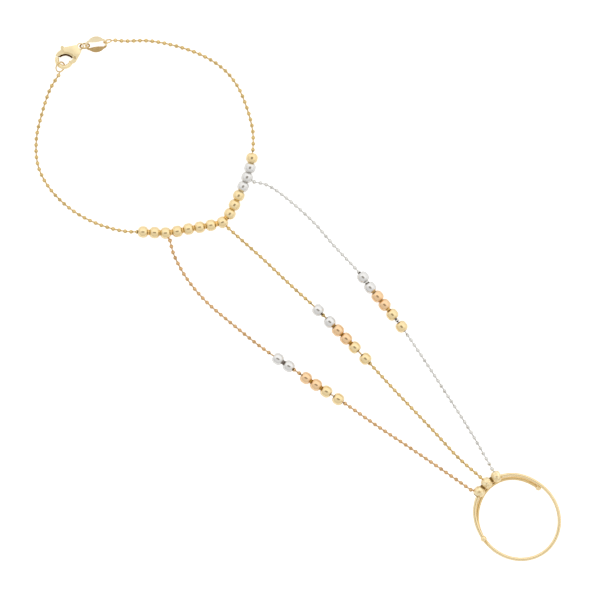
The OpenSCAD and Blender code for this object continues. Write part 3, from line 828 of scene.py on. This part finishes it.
def roundRing(name, outer, wire):
    clearSelection()
    bpy.ops.mesh.primitive_torus_add(major_segments=72, minor_segments=20, major_radius=(outer - wire) / 2 * mm,
                                     minor_radius=wire / 2 * mm)
    piece = bpy.context.object
    piece.name = name
    shadeSmooth(piece)
    return piece


def chainEnd(edge, ballPlace, facing, wire):
    top = turned("endBall", endBallOutline, 12)
    top.data.transform(along(ballPlace, facing))
    sunk, foot, waist = neckShape["sunk"], wire * neckShape["foot"], wire * neckShape["waist"]
    end = (ballPlace - edge).length / mm - neckShape["bite"]
    outline = [(core, -sunk), (foot, sunk), (waist, neckShape["waistUp"]), (waist, end), (core, end)]
    neck = turned("neck", outline, 16)
    shadeSmooth(neck, 70)
    neck.data.transform(along(edge, (ballPlace - edge).normalized()))
    return [top, neck]


# How far a ring's wire runs from its middle
def wireReach(hoop):
    return (hoop["outer"] - hoop["wire"]) / 2


# How high the middle of a ring that leans over stands
def standing(hoop):
    return wireReach(hoop) * math.cos(math.radians(hoop["lean"])) + hoop["wire"] / 2 + tableGap


# The axis of a ring that stands along its direction and leans over sideways
def leaningAxis(hoop):
    way, lean = math.radians(hoop["direction"]), math.radians(hoop["lean"])
    return Vector((-math.cos(lean) * math.sin(way), math.cos(lean) * math.cos(way), math.sin(lean)))


hookRing = {"at": clasp["at"] + Vector((0.55, -1.9, 0)), "outer": 2.76, "wire": 0.32, "tilt": 42, "turn": 16,
            "exit": 145}
tilt, leaving = math.radians(hookRing["tilt"]), math.radians(hookRing["exit"])
axis = polar(math.sin(tilt), hookRing["turn"], math.cos(tilt))
side = polar(math.cos(tilt), hookRing["turn"], -math.sin(tilt))
outwards = math.cos(leaving) * polar(1, hookRing["turn"] + 90) + math.sin(leaving) * side
edge = (hookRing["at"] + wireReach(hookRing) * outwards) * mm
line = chains["wrist"]["line"]
if (line[0] - edge).length > (line[-1] - edge).length:
    line.reverse()
piece = roundRing("hookEndRing", hookRing["outer"], hookRing["wire"])
piece.data.transform(along(hookRing["at"] * mm, axis))
facing = (line[1] - line[0]).normalized()
piece = joined("hookEndRing", [piece] + chainEnd(edge, line[0], facing, hookRing["wire"]))
dress(piece, "bracelet", "yellow_gold", ["hook_end_ring"], drawnGold)

eye = clasp["at"] + clasp["eye"]
jumpRing = {"outer": 2.6, "wire": 0.38, "direction": 51, "lean": 32}
height = standing(jumpRing)
run = math.sqrt(wireReach(jumpRing) ** 2 - ((height - eye.z) / math.cos(math.radians(jumpRing["lean"]))) ** 2)
at = Vector((eye.x, eye.y, height)) + polar(run, jumpRing["direction"])
piece = roundRing("jumpRing", jumpRing["outer"], jumpRing["wire"])
piece.data.transform(along(at * mm, leaningAxis(jumpRing)))
dress(piece, "bracelet", "yellow_gold", ["jump_ring"], shadedJumpGold)

# The oval link, whose flat sides slope down a little towards their outer edges
link = {
    "fromEye": 1.44, "direction": 52, "middle": 2.42, "end": 1.04, "wire": 0.56, "grain": 0.03, "passes": 6,
    "domeRadius": 10.0, "domeLength": 8.0, "domeDrop": 9.787, "domeTip": 20, "shadeFrom": 0.55,
}
linkAt = eye + polar(link["fromEye"], jumpRing["direction"]) + polar(link["middle"], link["direction"])
clearSelection()
bpy.ops.mesh.primitive_cylinder_add(vertices=256, radius=link["domeRadius"] * mm, depth=link["domeLength"] * mm)
dome = bpy.context.object
dome.data.transform(Matrix.Translation(linkAt * mm) @ Matrix.Rotation(math.radians(link["direction"]), 4, "Z")
                    @ Matrix.Rotation(math.radians(link["domeTip"]), 4, "X")
                    @ Matrix.Translation((0, 0, -link["domeDrop"] * mm)) @ Matrix.Rotation(math.pi / 2, 4, "Y"))
piece = castFrom("oval_link", "ovalLink", link["grain"], link["passes"], dome)
dress(piece, "bracelet", "yellow_gold", ["oval_link"], linkGold, linkShade)
# Painted shade: faces on the lower flat side of the link take the deeper gold
lowerSide = polar(1, link["direction"] - 90)
for face in piece.data.polygons:
    if (face.center - linkAt * mm).dot(lowerSide) > link["shadeFrom"] * mm:
        face.material_index = 1

linkRing = {"outer": 2.2, "wire": 0.32, "direction": 59, "lean": 25, "position": 20, "gap": 0.06}
linkEnd = linkAt + polar(link["middle"] - link["end"], link["direction"]) + polar(
    link["end"], link["direction"] + linkRing["position"])
pull = wireReach(linkRing) - linkRing["wire"] / 2 - link["wire"] / 2 - linkRing["gap"]
at = Vector((linkEnd.x, linkEnd.y, standing(linkRing))) + polar(pull, linkRing["direction"])
edge = (at + polar(wireReach(linkRing), linkRing["direction"])) * mm
piece = roundRing("linkEndRing", linkRing["outer"], linkRing["wire"])
piece.data.transform(along(at * mm, leaningAxis(linkRing)))
facing = (line[-2] - line[-1]).normalized()
piece = joined("linkEndRing", [piece] + chainEnd(edge, line[-1], facing, linkRing["wire"]))
dress(piece, "bracelet", "yellow_gold", ["link_end_ring"], drawnGold)
print("rings closed")


# Table, light and camera

studio = {
    "tableSize": 4.0, "tableDrop": 0.00001, "tableTone": 0.86, "tableGlow": 0.22, "seenGlow": 0.4,
    "tableGrain": 900, "tableRoughFrom": 0.7, "tableRoughTo": 0.9, "tableSheen": 0.1,
    "horizon": 0.92, "zenith": 1.06, "zenithFrom": 0.75,
    "slotDark": 0.35, "slotTone": (1.0, 0.9, 0.76, 1), "slotLength": 0.38, "slotWidth": 0.22,
    "slotSoft": 0.3, "slotTurn": 45,
    "dimSide": 0.84, "brightSide": 1.16, "sideReach": 0.55, "sideSlant": -0.5,
}
clearSelection()
bpy.ops.mesh.primitive_plane_add(size=studio["tableSize"], location=(0, 0, -studio["tableDrop"]))
table = bpy.context.object
table.name = "table"
card = bpy.data.materials.new("paleTable")
card.use_nodes = True
nodes, links = card.node_tree.nodes, card.node_tree.links
shader = nodes["Principled BSDF"]
shader.inputs["Base Color"].default_value = (*[studio["tableTone"]] * 3, 1)
shader.inputs["Specular IOR Level"].default_value = studio["tableSheen"]
shader.inputs["Emission Color"].default_value = (1, 1, 1, 1)
place, paper = nodes.new("ShaderNodeTexCoord"), nodes.new("ShaderNodeTexNoise")
rough = nodes.new("ShaderNodeMapRange")
paper.inputs["Scale"].default_value = studio["tableGrain"]
rough.inputs["To Min"].default_value = studio["tableRoughFrom"]
rough.inputs["To Max"].default_value = studio["tableRoughTo"]
links.new(place.outputs["Object"], paper.inputs["Vector"])
links.new(paper.outputs["Fac"], rough.inputs["Value"])
links.new(rough.outputs["Result"], shader.inputs["Roughness"])
seen, glow = nodes.new("ShaderNodeLightPath"), nodes.new("ShaderNodeMath")
glow.operation = "MULTIPLY_ADD"
glow.inputs[1].default_value = studio["seenGlow"]
glow.inputs[2].default_value = studio["tableGlow"]
links.new(seen.outputs["Is Camera Ray"], glow.inputs[0])
links.new(glow.outputs[0], shader.inputs["Emission Strength"])
table.data.materials.append(card)

world = bpy.data.worlds.new("lightTent")
bpy.context.scene.world = world
world.use_nodes = True
nodes, links = world.node_tree.nodes, world.node_tree.links
nodes.clear()
look = nodes.new("ShaderNodeTexCoord")


def fill(sockets, values):
    for socket, value in zip(sockets, values):
        if isinstance(value, (int, float)):
            socket.default_value = value
        else:
            links.new(value, socket)


def worldMath(operation, *values):
    node = nodes.new("ShaderNodeMath")
    node.operation = operation
    fill(node.inputs, values)
    return node.outputs[0]


def smoothBetween(value, low, high, start, end):
    node = nodes.new("ShaderNodeMapRange")
    node.interpolation_type = "SMOOTHSTEP"
    fill(node.inputs, (value, low, high, start, end))
    return node.outputs["Result"]


axes = nodes.new("ShaderNodeSeparateXYZ")
links.new(look.outputs["Generated"], axes.inputs[0])
skyLight = smoothBetween(axes.outputs["Z"], 0.0, studio["zenithFrom"], studio["horizon"], studio["zenith"])
across = worldMath("MULTIPLY_ADD", axes.outputs["X"], studio["sideSlant"], axes.outputs["Y"])
sideEnd = studio["sideReach"]
sideLight = smoothBetween(across, -sideEnd, sideEnd, studio["dimSide"], studio["brightSide"])

# The slot in the tent that the camera looks through shows as a short dark line on each bead
slotTurn = math.radians(studio["slotTurn"])
squares = []
for slant, size in ((slotTurn, studio["slotLength"]), (slotTurn + math.pi / 2, studio["slotWidth"])):
    run = worldMath("MULTIPLY", axes.outputs["X"], math.cos(slant) / size)
    run = worldMath("MULTIPLY_ADD", axes.outputs["Y"], math.sin(slant) / size, run)
    squares.append(worldMath("POWER", worldMath("ABSOLUTE", run), 2.0))
reach = worldMath("SQRT", worldMath("ADD", *squares))
slot = smoothBetween(reach, 1 - studio["slotSoft"], 1 + studio["slotSoft"], studio["slotDark"], 1.0)
level = worldMath("MULTIPLY", worldMath("MULTIPLY", skyLight, sideLight), slot)
back = nodes.new("ShaderNodeBackground")
links.new(level, back.inputs["Strength"])
tint = nodes.new("ShaderNodeMix")
tint.data_type = "RGBA"
tint.inputs[6].default_value = studio["slotTone"]
tint.inputs[7].default_value = (1, 1, 1, 1)
links.new(slot, tint.inputs["Factor"])
links.new(tint.outputs[2], back.inputs["Color"])
end = nodes.new("ShaderNodeOutputWorld")
links.new(back.outputs[0], end.inputs["Surface"])
bpy.context.scene.view_settings.view_transform = "Standard"

view = {"above": (-0.00054, -0.00124), "height": 1.92, "lens": 480, "turn": 45}
cameraData = bpy.data.cameras.new("camera")
cameraData.lens = view["lens"]
camera = bpy.data.objects.new("camera", cameraData)
bpy.context.scene.collection.objects.link(camera)
camera.location = (*view["above"], view["height"])
camera.rotation_euler = (0, 0, math.radians(view["turn"]))
bpy.context.scene.camera = camera
print("studio set")
